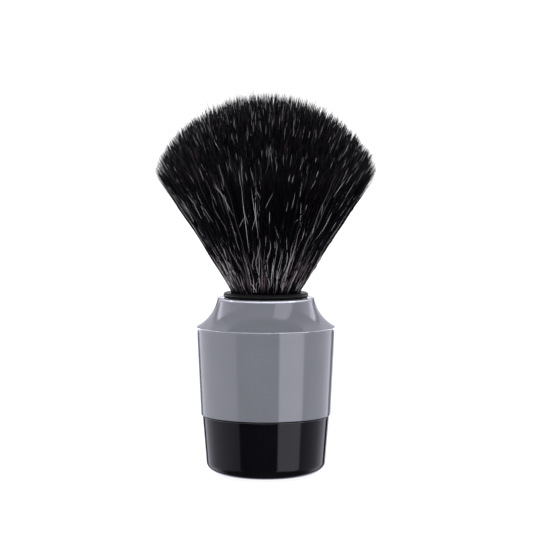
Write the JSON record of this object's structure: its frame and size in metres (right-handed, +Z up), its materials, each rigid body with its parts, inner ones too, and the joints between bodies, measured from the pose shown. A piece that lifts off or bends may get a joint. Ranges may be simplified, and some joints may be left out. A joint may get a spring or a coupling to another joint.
{
  "type": "shaving brush",
  "caption": "Shaving brush with a fan-shaped synthetic fibre knot that unscrews from a weighted, tapered two-tone plastic handle.",
  "frame": {"origin": "centre of the foot pad's underside, on the surface that the brush stands on", "axes": "+Z up along the brush's axis, from the foot to the fibre tips"},
  "size_m": [0.0638, 0.0638, 0.1097],
  "materials": {
    "sleeve_grey": "gloss",
    "base_black": "gloss",
    "collar_black": "satin",
    "fibre": "satin",
    "cord": "matte",
    "resin": "gloss",
    "brass": "satin",
    "steel": "satin",
    "rubber": "matte"
  },
  "bodies": {
    "handle": {"handle_sleeve": "sleeve_grey", "base_cup": "base_black", "foot_pad": "rubber", "base_seal": "rubber", "tie_screw": "steel", "screw_washer": "steel", "ballast_weight": "steel", "ballast_damper": "rubber", "threaded_insert": "brass"},
    "seal": {"collar_seal": "rubber"},
    "knot": {"knot_collar": "collar_black", "knot_resin": "resin", "knot_binding": "cord", "fibre_knot": "fibre"}
  },
  "joints": [
    {"name": "knot_lift", "type": "slide", "parent": "handle", "child": "seal", "axis": [0, 0, 1], "range_m": [0, 0.009]},
    {"name": "knot_turn", "type": "hinge", "parent": "seal", "child": "knot", "pos_m": [0, 0, 0.0514], "axis": [0, 0, 1], "range_deg": [0, 2160]}
  ],
  "couplings": [
    {"joint": "knot_lift", "follows": "knot_turn", "m_per_rad": 0.00023873}
  ]
}
